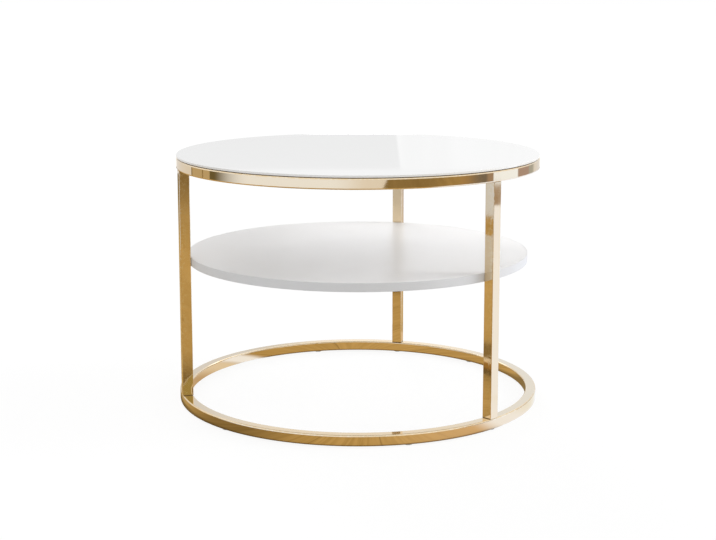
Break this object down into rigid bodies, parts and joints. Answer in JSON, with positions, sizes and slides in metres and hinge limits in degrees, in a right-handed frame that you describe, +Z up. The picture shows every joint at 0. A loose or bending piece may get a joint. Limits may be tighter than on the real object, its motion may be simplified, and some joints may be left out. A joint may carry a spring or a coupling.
{
  "type": "coffee table with shelf",
  "caption": "Round coffee table: a white glass plate on a gold square-tube ring, upright legs down to a matching floor ring, and a round white shelf between the legs.",
  "frame": {"origin": "on the floor, under the middle of the table", "axes": "+Z up, from the floor towards the glass; -Y towards the front, between the left and right legs; +Y towards the back leg; +X to the right"},
  "size_m": [0.7, 0.7, 0.481],
  "materials": {
    "white_glass": "polished white glass, opaque",
    "clear_silicone": "soft, translucent",
    "gold_tube": "polished pale gold plating on steel",
    "plain_steel": "sawn steel",
    "zinc_fasteners": "zinc plated",
    "cap_plastic": "fine grained, matt",
    "glide_plastic": "smooth, matt",
    "white_board": "white coated board, matt",
    "white_edging": "white, matt"
  },
  "bodies": {
    "table_frame": {"top_ring": "gold_tube", "bottom_ring": "gold_tube", "leg_back": "gold_tube", "leg_left": "gold_tube", "leg_right": "gold_tube", "leg_back_bottom_plug": "plain_steel", "leg_back_top_plug": "plain_steel", "leg_left_bottom_plug": "plain_steel", "leg_left_top_plug": "plain_steel", "leg_right_bottom_plug": "plain_steel", "leg_right_top_plug": "plain_steel", "bottom_ring_bolts": "zinc_fasteners", "bottom_ring_washers": "zinc_fasteners", "top_ring_bolts": "zinc_fasteners", "top_ring_washers": "zinc_fasteners", "bottom_hole_caps": "cap_plastic", "floor_glides": "glide_plastic", "shelf_board": "white_board", "shelf_edge_band": "white_edging", "shelf_tab_back": "gold_tube", "shelf_tab_left": "gold_tube", "shelf_tab_right": "gold_tube", "shelf_screws": "zinc_fasteners", "glass_pads": "clear_silicone"},
    "glass_plate": {"glass_top": "white_glass"}
  },
  "joints": [
    {"name": "glass_lift", "type": "slide", "parent": "table_frame", "child": "glass_plate", "axis": [0, 0, 1], "range_m": [0, 0.15]}
  ]
}
